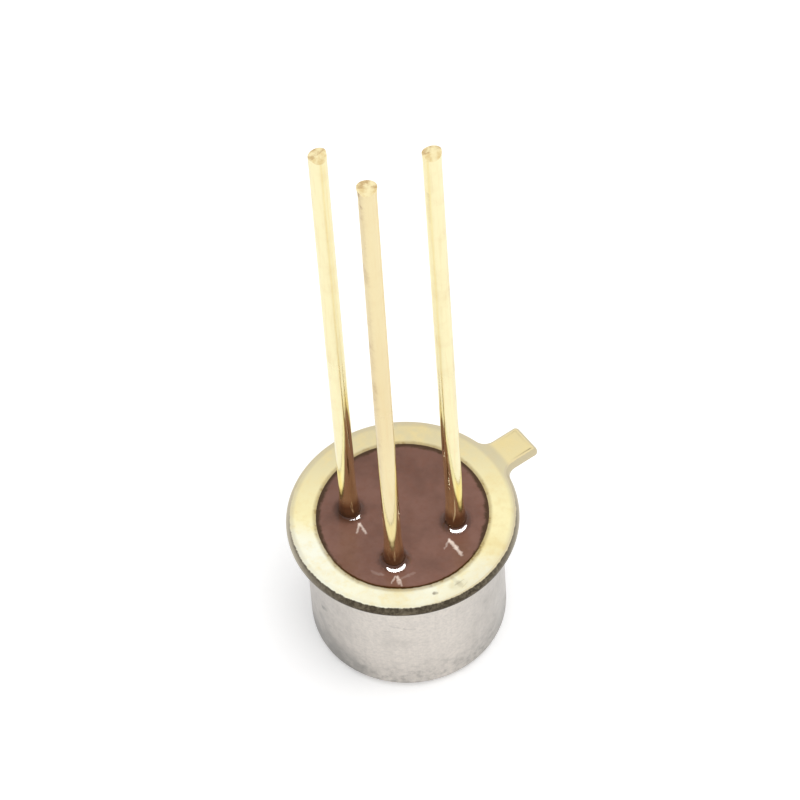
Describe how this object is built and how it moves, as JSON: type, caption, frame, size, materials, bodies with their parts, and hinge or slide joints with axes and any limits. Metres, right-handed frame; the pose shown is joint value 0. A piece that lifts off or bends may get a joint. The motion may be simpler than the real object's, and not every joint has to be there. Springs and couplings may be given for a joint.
{
  "type": "pin photodiode",
  "caption": "Small PIN photodiode in a round metal can with an end window, a gold flange ring with a locating tab, a brown glass seal and straight wire leads.",
  "frame": {"origin": "centre of the cap's flat end face, on which the part stands", "axes": "+Z along the can's axis towards the lead tips, +X towards the anode lead, the tab halfway between +X and +Y"},
  "size_m": [0.0057, 0.0057, 0.0181],
  "materials": {
    "nickel_plate": "dull nickel plate on drawn steel, with stains",
    "gold_plate": "pale gold plate, satin, a little mottled",
    "seal_glass": "opaque brown sealing glass, glossy",
    "window_glass": "clear polished glass",
    "solder_glass": "opaque grey solder glass",
    "alumina": "fired white alumina with a gold pad",
    "silicon": "polished silicon with an anti-reflection coat",
    "solder": "gold-tin solder",
    "bond_gold": "fine gold wire"
  },
  "bodies": {
    "root": {"cap": "nickel_plate", "window": "window_glass", "window_seal": "solder_glass", "header_shell": "gold_plate", "glass_fill": "seal_glass", "lead_anode": "gold_plate", "lead_cathode": "gold_plate", "lead_case": "gold_plate", "submount_solder": "solder", "submount": "alumina", "chip_solder": "solder", "photodiode_chip": "silicon", "wire_anode": "bond_gold", "wire_cathode": "bond_gold"}
  },
  "joints": []
}
